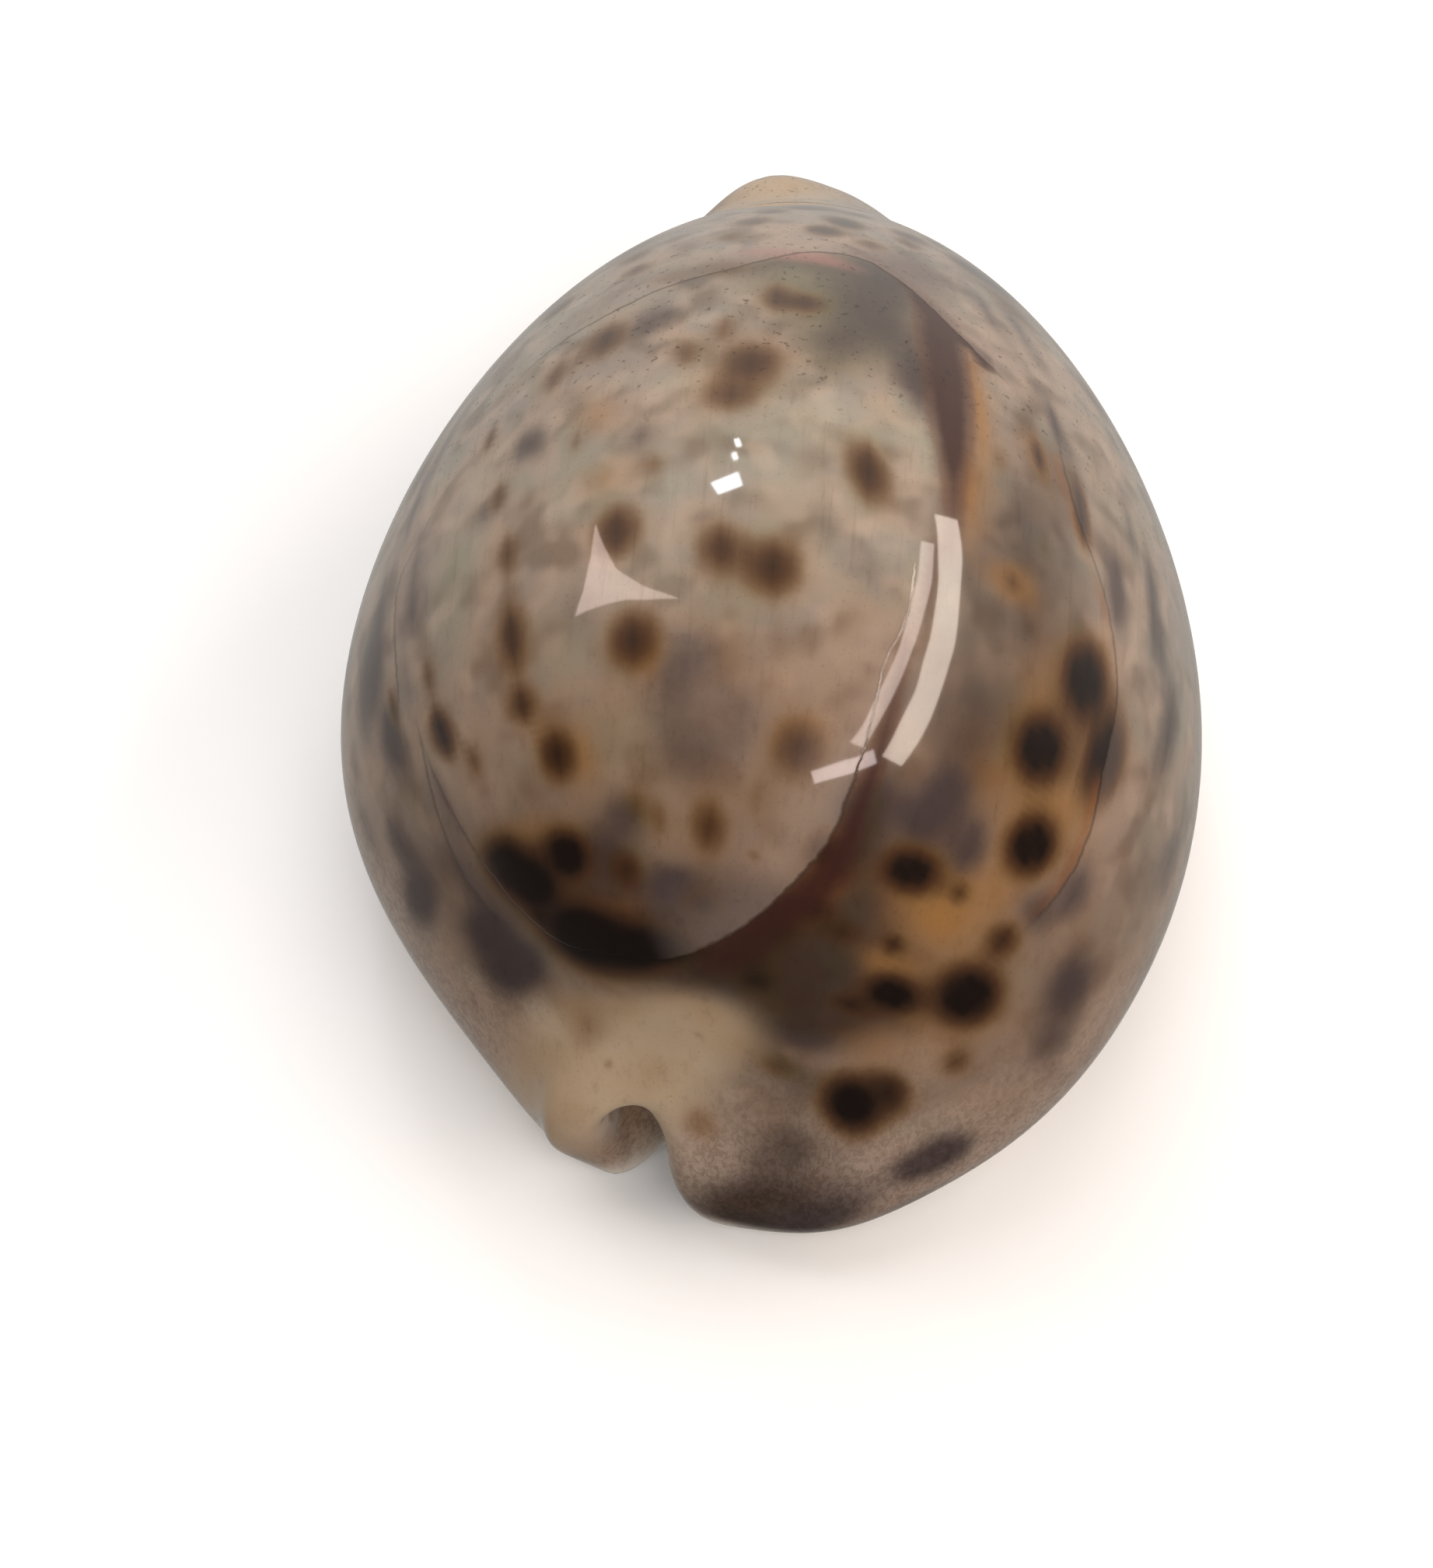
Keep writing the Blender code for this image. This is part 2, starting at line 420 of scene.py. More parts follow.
shell_mesh = plain_mesh(shell_sheet_tree(), SHELL_SIZES)
shell_mesh.name = "shell"
shell_mesh.materials.pop(index=0)
turned_out = bmesh.new()
turned_out.from_mesh(shell_mesh)
bmesh.ops.recalc_face_normals(turned_out, faces=turned_out.faces)
turned_out.to_mesh(shell_mesh)
turned_out.free()
shell_mesh.shade_smooth()
shell = bpy.data.objects.new("shell", shell_mesh)
bpy.context.scene.collection.objects.link(shell)
wall = shell.modifiers.new("wall", "SOLIDIFY")
wall.thickness = WALL
wall.offset = -1
wall.use_even_offset = False
wall.material_offset = 1
wall.material_offset_rim = 1

# --- The markings ----------------------------------------------------------------------------
# Pigment lies in the shell in layers: dark spots near the surface, blurred older spots deeper
# down, and a line along the back where the two flaps of the animal's mantle met. Each flap laid
# its coats of shell over the older ones, and left a fine edge where its last coat ended.

# A place on the back is two angles seen from the middle of the shell: the turn about its length,
# from the outer lip's side over the back to the inner lip's side, and the way from rear to front.
MIDDLE = np.array((0.0, 0.0, 14.0)) * MM
# Each mark: turn, way, half width, half length (millimetres), lean (degrees), strength.
DARK_SPOTS = (
    (142, 54, 1, 1.5, 8, 1.15), (126.5, 53.5, 1.1, 1.2, 0, 0.7), (136.5, 49.7, 0.9, 1.2, 0, 0.45),
    (120.7, 47.8, 1.3, 1.6, 0, 0.85), (138.8, 38.4, 2.0, 1.6, 0, 1.4), (134.5, 35.6, 2.1, 1.7, 0, 1.5),
    (125, 37.7, 1.7, 1.5, 0, 1.3), (138, 31.5, 0.7, 0.8, 0, 0.7), (129, 28.2, 3.2, 2.4, 0, 1.5),
    (119, 26.4, 3.2, 1.9, 0, 1.3), (112, 25.8, 1.8, 1.3, 0, 0.7), (105, 25, 1.4, 1, 0, 0.35),
    (97.5, 24.8, 1.6, 1.2, 0, 0.45), (90, 24.5, 1.8, 1.7, 0, 0.6), (88.5, 21.5, 1.5, 1.3, 0, 0.8),
    (85, 28.5, 1.8, 1.5, 0, 0.75), (79.5, 31.5, 1.5, 1.1, 0, 0.8), (87.6, 47.4, 1.6, 1.8, 0, 0.7),
    (110, 41.5, 0.9, 1.2, 0, 0.4), (91, 42.5, 0.9, 1.4, 0, 0.3), (99, 39.6, 1.1, 1.8, 0, 0.65),
    (107.3, 40.3, 0.6, 1.3, 0, 0.35), (113.7, 35.5, 1.1, 1.3, 0, 0.75), (100.2, 31.2, 1.3, 1.3, 0, 0.85),
    (79, 37, 1.3, 1.4, -20, 0.85), (91.8, 36, 0.5, 0.5, 0, 0.4), (48.8, 63.6, 1.9, 2.3, 0, 1.35),
    (51.6, 54.2, 2.0, 1.9, 0, 1.35), (39.8, 57.5, 1.7, 2.6, 0, 1.3), (46.5, 45.3, 1.8, 1.7, 0, 1.35),
    (66, 37.3, 1.9, 1.4, 0, 1.25), (53.3, 37.4, 0.9, 0.8, 0, 0.55), (41, 35.2, 1.3, 1.2, 0, 0.75),
    (37, 28.4, 2.3, 1.9, 0, 1.4), (59.5, 29.3, 1, 0.8, 0, 0.75), (52.3, 23.7, 2, 1.3, 0, 1.3),
    (60.5, 20.8, 1.6, 0.9, 0, 0.8), (17, 11.8, 2.3, 1.7, 0, 1.3), (18.5, 15.8, 1.8, 1.2, 0, 0.8),
    (21, 23.5, 1.2, 1.1, 0, 0.5),
    (72, 29, 1.2, 0.9, 0, 0.7), (84.5, 18, 1.6, 1, 0, 0.6), (66, 9, 1.5, 1.1, 0, 0.45),
    (135.5, 92.5, 0.6, 1.5, -10, 0.5), (118.5, 85, 0.8, 1.1, 0, 0.3), (130, 80, 0.9, 1.3, 0, 0.5),
    (127.5, 71.5, 1, 1.5, 0, 0.55), (110.2, 70.4, 1.4, 1.8, 0, 0.78), (108.6, 58, 1.5, 1.7, 0, 0.85),
    (127.4, 61, 1.1, 2.2, 0, 0.78), (144, 61, 0.9, 1.2, 0, 0.5),
    (98.8, 67.6, 1.3, 1.7, 12, 0.7), (92.3, 66, 1.6, 1.8, 0, 0.8), (82, 79.5, 1.2, 2.4, 14, 0.8),
    (100, 90, 1.8, 1.6, 0, 0.55), (97, 96.5, 1.9, 2.0, 0, 0.7), (119.5, 105.6, 1.4, 1.9, 0, 0.7),
    (125.5, 100, 1.1, 1.7, 0, 0.5), (107, 99, 1.1, 1.5, 0, 0.45), (102.5, 104, 0.9, 1.5, 0, 0.4),
    (91, 110.2, 1.4, 1.2, 0, 0.7), (94.5, 112.5, 0.9, 1.7, 0, 0.6), (105, 121, 1.6, 1.1, 0, 0.5),
    (113, 119.5, 1.8, 1.1, 0, 0.35), (61.7, 71, 1.1, 1, 0, 0.5), (51.7, 86, 0.6, 2.7, 10, 1.2),
    (58.5, 91.3, 0.5, 2.3, 14, 0.7), (63.5, 87, 0.9, 1.3, 0, 0.3), (57.8, 76.5, 0.8, 1, 0, 0.3),
    (154.5, 61, 0.5, 1.5, 0, 0.6), (107.5, 79, 1.1, 0.9, 0, 0.3),
)
BLUE_SPOTS = (
    (156, 58, 1.1, 1.7, 0, 0.85), (164, 66, 1.1, 2.8, 0, 0.5), (165, 48, 1.3, 1.9, 0, 0.6),
    (170, 42, 2.4, 1.3, 0, 0.8), (160, 33.5, 2, 1.2, 0, 0.85), (161, 28.5, 2.7, 1.3, 0, 0.95),
    (152, 39, 0.8, 1.6, 0, 0.5), (148, 48, 0.6, 2.2, 0, 0.5), (160.3, 68.5, 1.4, 2, 0, 0.8),
    (158, 74.5, 1, 2.3, 0, 0.6), (147.5, 77, 1, 2.3, 0, 0.45), (147.5, 70.5, 1.1, 1.6, 0, 0.6),
    (148, 62, 1, 1.4, 0, 0.4), (111.5, 41, 1.1, 1.1, 0, 0.6), (117, 37, 1.4, 1.3, 0, 0.7),
    (104.8, 32.8, 1.3, 1.2, 0, 0.85), (101, 46.5, 1.8, 1.6, 0, 0.45), (104, 52.5, 1.3, 1.6, 0, 0.4),
    (100.5, 56.5, 1.8, 1.5, 0, 0.45), (94, 50, 1.2, 1.6, 0, 0.35), (76.5, 42.5, 1.1, 1.7, -14, 0.8),
    (65, 46.3, 1.1, 1.5, 0, 0.75), (66, 43.3, 1.5, 1.2, 0, 0.7), (57.5, 41.5, 1.1, 1.5, 0, 0.7),
    (32.5, 43.5, 1.1, 1.4, 14, 0.75), (37.3, 39.6, 1.2, 1.2, 14, 0.6), (17.5, 38, 1.9, 1.7, 10, 0.75),
    (8, 33.8, 1.9, 1.5, 0, 0.5), (26, 68, 1.2, 2.5, 0, 0.7), (22, 51.5, 1.9, 1.6, 0, 0.3),
    (11, 58, 1.4, 2.4, 0, 0.5), (28, 62, 1.1, 1.3, 0, 0.3), (43.5, 77.5, 0.9, 2.3, 8, 0.85),
    (52, 100.5, 0.6, 2.8, 12, 0.7), (38.5, 89.5, 0.6, 2.9, 8, 0.45), (34.5, 82, 0.7, 3.5, 0, 0.6),
    (31, 76, 0.9, 2, 0, 0.5), (59.5, 122.5, 0.6, 3.5, 8, 0.5), (53.5, 123, 0.8, 4.4, 8, 0.5),
    (108.8, 83.5, 1, 1.2, 0, 0.5), (125, 88, 1, 1.2, 0, 0.5), (128, 87.5, 0.8, 1.1, 0, 0.4),
    (133.2, 79, 1, 1, 0, 0.5), (112.5, 108.5, 1.3, 1.6, 0, 0.6), (109, 120.5, 1.6, 1.5, 0, 0.4),
    (84, 113, 2, 4.8, 0, 0.3), (79.5, 107.5, 1.6, 2.7, 0, 0.5), (76.5, 97, 1, 2.6, 0, 0.8),
    (86.5, 101, 1.2, 1.7, 0, 0.4), (151, 101, 0.9, 3.7, -10, 0.5), (152, 88, 0.8, 2.9, -8, 0.4),
    (78, 122, 2, 2.9, 0, 0.5), (71, 128, 2, 3.3, 0, 0.5), (-52, 14, 3.5, 1.6, 0, 0.7),
    (-40, 22, 2.1, 1.6, 0, 0.4), (175, 55, 1.1, 2, 0, 0.4), (82.5, 66.5, 1, 1.4, 0, 0.3),
    (116, 62, 1.4, 1.5, 0, 0.3), (86, 70.5, 0.9, 2.1, 0, 0.3), (72, 25, 1.5, 1.2, 0, 0.6),
    (66, 14.5, 1.5, 1, 0, 0.5), (112, 29.5, 1.4, 0.8, 0, 0.45), (46, 9, 1.7, 1.6, 0, 0.4),
    (-13, 21.3, 1.3, 1.4, 0, 0.85), (-18, 18.5, 0.9, 1.0, 0, 0.7), (88, 23, 2.6, 1.5, 0, 0.9),
    (83, 19, 1.6, 1.8, 0, 0.7), (72, 33, 1.4, 1.8, -20, 0.6),
)
WARM_PATCHES = (
    (46.7, 49, 2.2, 2.6, 0, 0.8), (55.5, 36.5, 2.2, 1.8, 0, 0.8), (67.7, 34, 1.6, 1.4, 0, 0.5),
    (47.5, 39, 1.8, 2.0, 0, 0.6), (43.2, 31.5, 1.6, 1.6, 0, 0.4), (56, 59, 1.6, 3.0, 0, 0.5),
    (54, 34, 2.4, 1.9, 0, 1.0), (58, 26.8, 2.2, 1.2, 0, 0.9), (44.5, 65, 0.7, 2.3, 0, 1.0),
    (42.8, 58.5, 0.6, 2.2, 0, 0.9), (43, 50, 1.9, 2.4, 0, 0.7), (57, 49, 2.6, 2.0, 0, 0.4),
    (61.5, 70.6, 1.6, 1.1, 0, 0.8), (67.2, 95, 0.8, 5.0, 0, 1.0), (68.5, 80, 1.0, 3.6, 0, 0.9),
    (113.6, 77.6, 1.5, 1.3, 0, 0.6), (116, 89, 1.6, 1.5, 0, 0.6), (118, 47.5, 0.9, 1.6, 0, 0.7),
    (87.4, 49.5, 1.4, 1.0, 0, 0.7), (97, 57, 0.9, 1.6, 0, 0.4), (100, 92, 2.2, 1.2, 0, 0.4),
    (130, 41, 1.8, 0.9, 0, 0.5), (121.5, 30.8, 2.6, 0.8, 0, 0.6), (63.5, 37.5, 0.9, 1.1, 0, 0.8),
    (57.5, 91, 0.9, 2.0, 14, 0.6), (49.8, 85.5, 0.6, 2.0, 10, 0.6), (40, 17.5, 2.2, 1.6, 0, 0.4),
    (163, 19.5, 1.9, 1.0, 0, 0.5), (124, 50.5, 0.9, 1.2, 0, 0.4), (106.5, 56, 0.7, 1.4, 0, 0.7),
    (79, 33.6, 1.2, 1.0, 0, 0.7), (66, 103, 0.7, 3.0, 0, 0.5), (32, 24, 3.0, 2.4, 0, 0.3),
)
PALE_PATCHES = (
    (137, 73, 1.7, 2.0, 0, 0.7), (104.5, 76, 1.6, 1.0, 0, 0.5), (105, 65, 1.2, 1.8, 0, 0.4),
    (119, 56.5, 2.0, 1.7, 0, 0.5), (86.3, 68.5, 0.9, 2.0, 0, 0.4), (86, 88, 2.2, 2.0, 0, 0.5),
    (83.5, 41, 1.5, 2.0, 0, 0.5), (106, 94, 1.5, 1.2, 0, 0.5), (151, 66, 0.6, 1.3, 0, 0.3),
    (93, 77, 2.0, 1.6, 0, 0.3), (135, 84.5, 1.4, 1.3, 0, 0.4), (74, 86, 1.2, 2.4, 0, 0.5),
    (77.7, 92.8, 0.5, 0.9, 0, 0.8), (149, 54, 0.9, 1.8, 0, 0.4), (30, 33, 1.6, 2.6, 0, 0.4),
)
CALLUS_PATCHES = (
    (115, 14.5, 3.4, 2.2, 0, 1.0), (130, 12.5, 4.2, 2.8, 0, 1.0), (150, 10, 3.8, 3.2, 0, 1.0),
    (165, 14, 3.8, 3.4, 0, 1.0), (178, 19, 3.2, 3.2, 0, 0.9), (190, 12, 3.8, 4.4, 0, 1.0),
    (104, 11, 2.6, 2.0, 0, 0.5), (209, 24, 4.2, 4.0, 0, 0.9), (150, 173, 6.0, 4.5, 0, 0.9),
)
# Tan marks on the back and the spout. The patch at turn 227, way 18 is painted shade: it darkens the
# inner wall of the rear notch's hollow, over the wall's olive-brown tone.
TAN_PATCHES_AND_NOTCH_SHADE = (
    (161, 18, 2.2, 1.5, 0, 0.7), (207, 4.5, 1.4, 1.2, 0, 0.8), (115.5, 11.5, 0.4, 0.4, 0, 0.6),
    (171, 14.5, 0.4, 0.3, 0, 0.6), (178, 168, 1.6, 1.4, 0, 0.8), (227, 18, 2.4, 2.2, 0, 0.6),
    (86, 169, 1.6, 1.2, 0, 0.7),
)
BROWN_SHADES = (
    (74.5, 42, 1.0, 3.2, -8, 0.8), (75, 35.5, 1.8, 2.6, -30, 0.9), (84, 26.5, 3.8, 2.6, -30, 1.0),
    (88, 25, 4.6, 3.0, 0, 1.0), (75.5, 52, 0.8, 3.6, 0, 0.4), (72, 68, 1.2, 5.0, 0, 0.35),
    (124, 28, 5.2, 3.2, 0, 0.85), (108, 25.5, 5.2, 2.8, 0, 0.85), (92, 24.5, 5.0, 3.5, 0, 1.0),
    (80, 27, 4.4, 4.0, 0, 0.9), (70, 33, 2.4, 2.4, 0, 0.6), (60, 70, 4.6, 9.0, 0, 0.5),
    (58, 86, 3.6, 7.0, 0, 0.4), (71, 18, 4.0, 2.8, 0, 0.8), (84, 17, 3.6, 2.6, 0, 0.7),
    (60, 20, 4.0, 2.4, 0, 0.5), (52, 24, 4.0, 3.0, 0, 0.4), (64, 29, 3.0, 2.0, 0, 0.6),
    (63, 39, 3.0, 2.6, 0, 0.45), (104, 31, 4.0, 1.8, 0, 0.3), (118, 37, 4.4, 3.0, 0, 0.5),
    (137, 37, 4.2, 3.6, 0, 0.7), (150, 44, 1.8, 6.0, 0, 0.4), (52, 59, 2.6, 6.0, 0, 0.5),
    (60, 52, 3.6, 4.6, 0, 0.4), (67, 60, 2.2, 6.0, 0, 0.35), (62, 74, 3.0, 5.0, 0, 0.3),
    (162, 38, 2.8, 8.0, 0, 0.35), (156, 60, 2.6, 8.0, 0, 0.3), (168, 29, 3.4, 3.0, 0, 0.6),
    (90, 112, 6.0, 5.0, 0, 0.25), (80, 106, 3.6, 5.0, 0, 0.2), (78, 120, 4.0, 4.0, 0, 0.35),
    (98, 97, 4.0, 3.0, 0, 0.4), (121, 104, 4.0, 2.6, 0, 0.4), (130, 95, 3.0, 4.0, 0, 0.25),
    (112, 121, 6.0, 1.8, 0, 0.5), (92, 124, 4.0, 1.6, 0, 0.5), (-85, 13, 4.5, 2.6, 0, 0.9),
    (-60, 9.5, 3.4, 3.0, 0, 0.8), (-25, 6.5, 3.0, 2.6, 0, 0.6), (66, 8, 4.0, 2.4, 0, 0.5),
    (103, 67, 6.0, 6.0, 0, 0.2), (122, 60, 4.0, 6.0, 0, 0.25), (66, 52, 3.0, 5.0, 0, 0.35),
    (69, 72, 2.2, 7.0, 0, 0.45), (46, 86, 3.0, 7.0, 0, 0.3), (56, 92, 2.4, 4.0, 0, 0.3),
)
GREEN_SHADES = (
    (85, 113, 4.5, 5.5, 0, 0.75), (79, 107, 2.8, 4.5, 0, 0.75), (79, 122, 3.5, 4.0, 0, 0.5),
    (92, 117, 4.0, 3.5, 0, 0.6), (86, 100, 2.4, 2.6, 0, 0.5), (92, 68, 3.2, 5.0, 0, 0.3),
    (137, 72, 3.0, 4.0, 0, 0.4), (112, 48, 5.0, 3.0, 0, 0.4), (101, 78, 4.0, 3.0, 0, 0.2),
)
MANTLE_LINE = (  # turn, way, half width, strength
    (84, 131, 0.3, 0.3), (79, 127.5, 0.3, 0.6), (76, 123, 0.35, 0.7), (73.5, 118, 0.6, 0.8),
    (72, 113, 1.1, 0.85), (71.2, 108, 1.3, 0.9), (70.6, 103, 1.3, 0.9), (70.2, 98, 1.2, 1.0),
    (70.2, 93, 1.1, 1.0), (70.4, 88.5, 1.0, 0.95), (70.8, 84, 0.9, 0.75), (71, 80, 0.9, 0.5),
    (71.8, 75, 0.9, 0.35), (73.5, 68, 0.7, 0.3), (75.5, 55, 0.6, 0.35), (77, 46, 0.6, 0.6),
    (77, 41, 0.9, 0.7), (79, 36, 1.3, 0.7), (84, 31, 1.6, 0.65), (91, 26.5, 1.8, 0.65),
    (99, 23.5, 1.6, 0.5),
)
MANTLE_BRANCH = (
    (70, 111, 0.4, 0.9), (67.5, 109, 0.4, 1.0), (65.5, 107.5, 0.4, 1.0), (63.5, 106, 0.35, 0.6),
)
PINK_STREAK = (
    (106, 126, 0.8, 0.3), (99, 127, 1.1, 0.9), (89, 125, 1.1, 0.9), (81, 122, 0.8, 0.4),
)
# Each edge: turn, way, strength. The coat lies to the left of it, seen from outside along it.
FLAP_EDGES = {
    "rear flap": (
        (148.1, 55, 0.0), (146.9, 49.3, 0.8), (143.7, 37.6, 1.0), (142.6, 30.8, 1.0),
        (136.7, 27.6, 0.7), (125.6, 26.2, 0.3), (111.7, 24.5, 0.3), (98.5, 26, 0.0),
    ),
    "back flap": (
        (115, 24.5, 0.0), (107, 25.0, 0.4), (98.5, 26.6, 0.9),
        (90, 29.6, 1.0), (82.9, 34.8, 1.0), (79.2, 39.6, 1.0), (78, 43.9, 1.0), (78, 46.8, 0.9),
        (78.3, 49.5, 0.6), (77.8, 53.6, 0.5), (76.7, 58, 0.4), (75.6, 63, 0.3), (75, 69.4, 0.0),
    ),
    "side flap": (
        (143, 88, 0.0), (148.6, 81.2, 0.5), (153, 77.5, 0.8), (152.4, 69.8, 0.8), (152, 62, 0.8),
        (152.8, 58.3, 0.5), (153, 55, 0.0),
    ),
    "low flap": (
        (147.5, 58, 0.0), (148.1, 55, 0.5), (150.7, 48.7, 0.8), (153.3, 41.4, 0.8), (151.9, 35, 0.5),
        (150, 31, 0.0),
    ),
    "far flap": (
        (138, 100, 0.0), (131.5, 107.8, 0.6), (118.9, 113.3, 0.8), (112.5, 118, 0.8),
        (103.1, 120.5, 0.7), (97, 124.5, 0.8), (90, 127.5, 0.8), (83, 127.5, 0.9), (77, 124, 0.9),
        (73, 118.5, 1.0), (69, 112.5, 1.0), (63.9, 106.8, 1.0), (60, 103, 0.0),
    ),
    "outer flap": (
        (54, 97, 0.0), (52.5, 90, 0.7), (50, 82, 0.5), (46.5, 76, 0.5), (43.5, 70, 0.6), (41.5, 64, 0.7),
        (39.5, 57, 0.7), (37.5, 50, 0.7), (36.5, 43, 0.6), (37, 37, 0.0),
    ),
}
FLAP_REACH = 7.0  # millimetres that a coat's edge shows for
DEEP_SPREAD = 1.35  # how much wider a spot looks from its depth
UNSEEN = np.array((0.0, 0.53, -0.85))  # the way that the front slope and the base face
SPOTS_ON_UNSEEN_SIDES = 105
SPOTS_THAT_TOUCH = 0.015
FLANK_TURN = 80  # degrees from the top of the back, beyond which the spots lie deep
SEED = 11

points = np.empty(3 * len(shell_mesh.vertices))
shell_mesh.vertices.foreach_get("co", points)
points = points.reshape(-1, 3)
directions = points - MIDDLE
directions /= np.linalg.norm(directions, axis=1, keepdims=True)


def bearings(turn, way):
    """The direction of a place from the middle of the shell, and the ways across and along there."""
    t, w = math.radians(turn), math.radians(way)
    towards = np.array((math.sin(w) * math.cos(t), -math.cos(w), math.sin(w) * math.sin(t)))
    across = np.array((-math.sin(t), 0.0, math.cos(t)))
    return towards, across, np.cross(across, towards)


def surface_place(turn, way):
    return points[np.argmax(directions @ bearings(turn, way)[0])]


def patch(turn, way, half_width, half_length, lean, strength):
    """How strongly each point lies in a soft oval mark: half as strongly at its outline."""
    _, across, along = bearings(turn, way)
    c, s = math.cos(math.radians(lean)), math.sin(math.radians(lean))
    apart = points - surface_place(turn, way)
    over = (apart @ (c * across - s * along)) / (half_width * MM)
    forth = (apart @ (s * across + c * along)) / (half_length * MM)
    deep = np.cross(across, along)
    through = (apart @ deep) / (max(half_width, half_length) * MM)
    return strength * np.exp2(-(over**2 + forth**2 + 0.6 * through**2))


def line(stops):
    """How strongly each point lies on a soft line through places with these widths."""
    found = np.zeros(len(points))
    for (t0, w0, h0, s0), (t1, w1, h1, s1) in zip(stops, stops[1:]):
        start, end = surface_place(t0, w0), surface_place(t1, w1)
        run = end - start
        part = np.clip((points - start) @ run / (run @ run), 0, 1)
        apart = np.linalg.norm(points - start - part[:, None] * run, axis=1)
        half_width = (h0 + (h1 - h0) * part) * MM
        strength = s0 + (s1 - s0) * part
        found = np.maximum(found, strength * np.exp2(-((apart / half_width) ** 2)))
    return found


def stored(name, values):
    made = shell_mesh.attributes.new(name, "FLOAT", "POINT")
    made.data.foreach_set("value", values.astype(np.float32))


def rounded(stops):
    """The same run of rows with its corners cut off, twice."""
    for _ in range(2):
        before, after = stops[:-1], stops[1:]
        cuts = np.stack((0.75 * before + 0.25 * after, 0.25 * before + 0.75 * after), axis=1)
        stops = np.vstack((stops[:1], cuts.reshape(-1, stops.shape[1]), stops[-1:]))
    return stops


def flap_edge(name, stops):
    """Stores how far each point is to the left of a line, in millimetres, and the line's strength."""
    nearest = np.full(len(points), np.inf)
    side, strength = np.zeros(len(points)), np.zeros(len(points))
    path = rounded(np.array([(*surface_place(turn, way), amount) for turn, way, amount in stops]))
    for (*start, s0), (*end, s1) in zip(path, path[1:]):
        run = np.subtract(end, start)
        part = np.clip((points - start) @ run / (run @ run), 0, 1)
        apart = np.linalg.norm(points - start - part[:, None] * run, axis=1) / MM
        left = np.einsum("ij,ij->i", np.cross(run, points - start), directions)
        closer = apart < nearest
        nearest = np.where(closer, apart, nearest)
        side = np.where(closer, np.where(left > 0, apart, -apart), side)
        strength = np.where(closer, s0 + (s1 - s0) * part, strength)
    fading = np.exp2(-((nearest / FLAP_REACH) ** 2))
    stored(name, np.clip(side, -FLAP_REACH, FLAP_REACH))
    stored(name + " strength", strength * fading)


def layer(name, *marks):
    """Stores a layer of pigment, or of painted shade, on the shell: overlapping marks add up but never
    pass 1.
    """
    clear = np.ones(len(points))
    for mark in marks:
        clear *= 1 - np.clip(mark, 0, 1)
    stored(name, 1 - clear)


draw = np.random.default_rng(SEED)
unseen_spots, taken = [], []
while len(unseen_spots) < SPOTS_ON_UNSEEN_SIDES:
    turn, way = draw.uniform(-24, 204), draw.uniform(20, 158)
    half_width = draw.uniform(0.8, 1.8)
    if bearings(turn, way)[0] @ UNSEEN < draw.uniform(-0.3, 0.0):
        continue
    here = surface_place(turn, way)
    gaps = [
        np.linalg.norm(here - there) - 1.5 * (half_width + width) * MM
        for there, width in taken
    ]
    if min(gaps, default=1.0) > 0 or draw.uniform() < SPOTS_THAT_TOUCH:
        taken.append((here, half_width))
        length, lean = half_width * draw.uniform(1.0, 1.5), draw.uniform(-15, 15)
        unseen_spots.append((turn, way, half_width, length, lean, draw.uniform(0.35, 0.95)))
low_spots = [spot for spot in unseen_spots if abs(spot[0] - 90) > FLANK_TURN]
high_spots = [spot for spot in unseen_spots if abs(spot[0] - 90) <= FLANK_TURN]
blurred_spots = [
    (turn, way, DEEP_SPREAD * half_width, DEEP_SPREAD * half_length, lean, strength)
    for turn, way, half_width, half_length, lean, strength in BLUE_SPOTS
]
for name, marks in {
    "dark spots": (*DARK_SPOTS, *high_spots),
    "blue spots": (*blurred_spots, *low_spots),
    "warm patches": WARM_PATCHES,
    "pale patches": PALE_PATCHES,
    "callus": CALLUS_PATCHES,
    "tan patches and notch shade": TAN_PATCHES_AND_NOTCH_SHADE,
    "green shades": GREEN_SHADES,
    "brown shades": BROWN_SHADES,
}.items():
    layer(name, *(patch(*mark) for mark in marks))
layer("mantle line", line(MANTLE_LINE), line(MANTLE_BRANCH))
layer("pink streak", line(PINK_STREAK))
for name, stops in FLAP_EDGES.items():
    flap_edge(name, stops)

# --- The glaze -------------------------------------------------------------------------------
# The outer coat is clear and hard like porcelain over the pigment layers; the base, the lips and
# the teeth are bare creamy white, and the inside is a dull white with a violet tinge.


